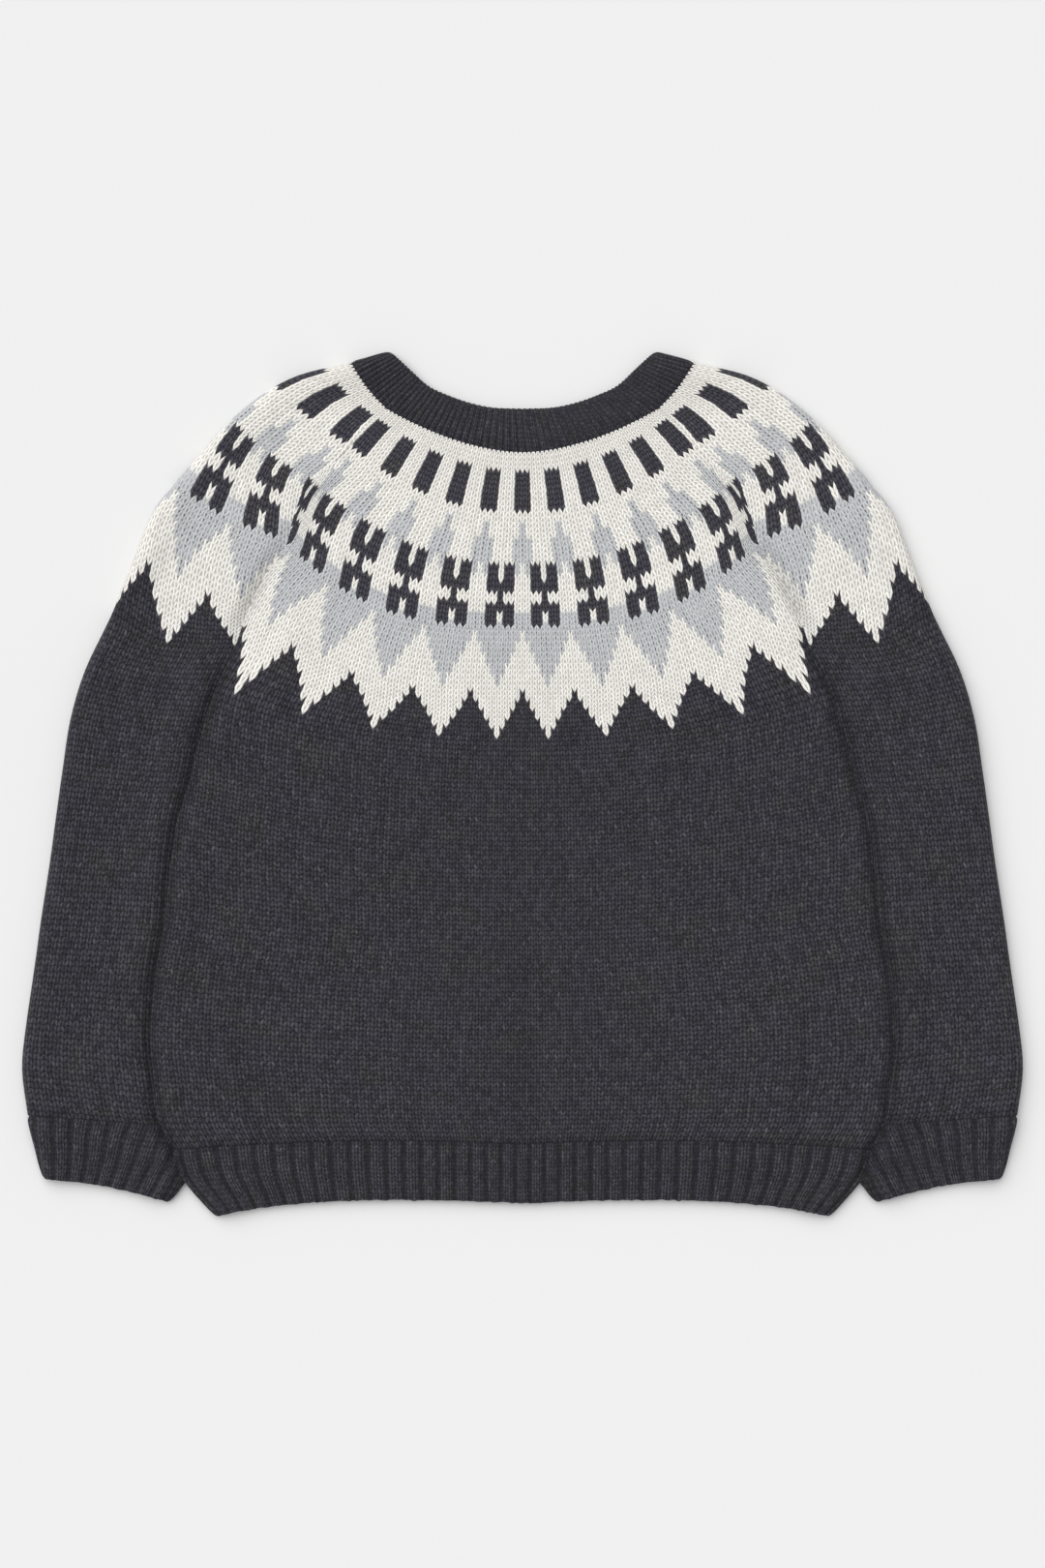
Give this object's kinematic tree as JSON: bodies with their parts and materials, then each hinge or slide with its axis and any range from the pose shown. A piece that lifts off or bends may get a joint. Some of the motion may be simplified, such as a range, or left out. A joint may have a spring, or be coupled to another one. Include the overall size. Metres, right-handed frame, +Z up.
{
  "type": "child's fair isle jumper lying flat",
  "caption": "A child's long-sleeved round-yoked raglan jumper in dark grey wool knit with a light patterned yoke, lying flat on its back, with a ribbed neckband, cuffs and hem welt.",
  "frame": {"origin": "on the surface that the jumper lies on, under the middle of its outline", "axes": "+X to the wearer's left as the front is seen from above with the neck up, +Y from the hem to the neck, +Z up out of the cloth"},
  "size_m": [0.466, 0.403, 0.0085],
  "materials": {
    "body_knit": "matt heathered wool knit, patterned in off-white, pale grey and charcoal over the yoke",
    "sleeve_knit": "matt heathered wool knit, patterned in off-white, pale grey and charcoal at the top",
    "neck_rib": "matt heathered wool in fine one-and-one rib",
    "welt_rib": "matt heathered wool in two-and-two rib"
  },
  "bodies": {
    "root": {"front": "body_knit", "back": "body_knit", "sleeve_right": "sleeve_knit", "sleeve_left": "sleeve_knit", "neckband": "neck_rib", "hem_front": "welt_rib", "hem_back": "welt_rib", "cuff_right": "welt_rib", "cuff_left": "welt_rib"}
  },
  "joints": []
}
